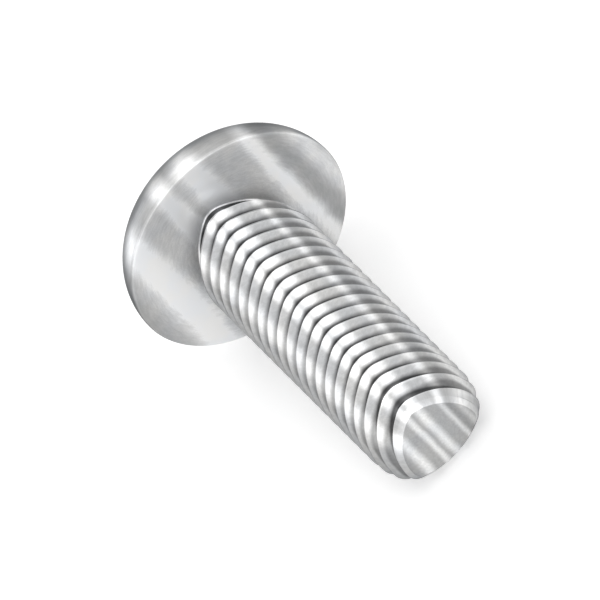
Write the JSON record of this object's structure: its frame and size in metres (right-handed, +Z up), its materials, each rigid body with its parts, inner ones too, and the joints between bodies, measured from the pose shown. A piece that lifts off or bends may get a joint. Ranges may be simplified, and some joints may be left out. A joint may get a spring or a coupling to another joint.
{
  "type": "pan head machine screw",
  "caption": "Pan head machine screw with a cross recess, a fully threaded lobed shank and a rounded point with a flat end, lying on its side.",
  "frame": {"origin": "on the surface that the screw lies on, under the middle of its bounding box", "axes": "+Z up from that surface, +X the way the point faces, level, with the screw's own axis in the XZ plane and dipping 11.4 degrees from +X, +Y to its left seen from the head; one lobe of the section is uppermost"},
  "size_m": [0.023, 0.0122, 0.012],
  "materials": {
    "steel": "bright zinc-plated steel, rolled thread, faint turned grain on the head and the tip"
  },
  "bodies": {
    "root": {"machine_screw": "steel"}
  },
  "joints": []
}
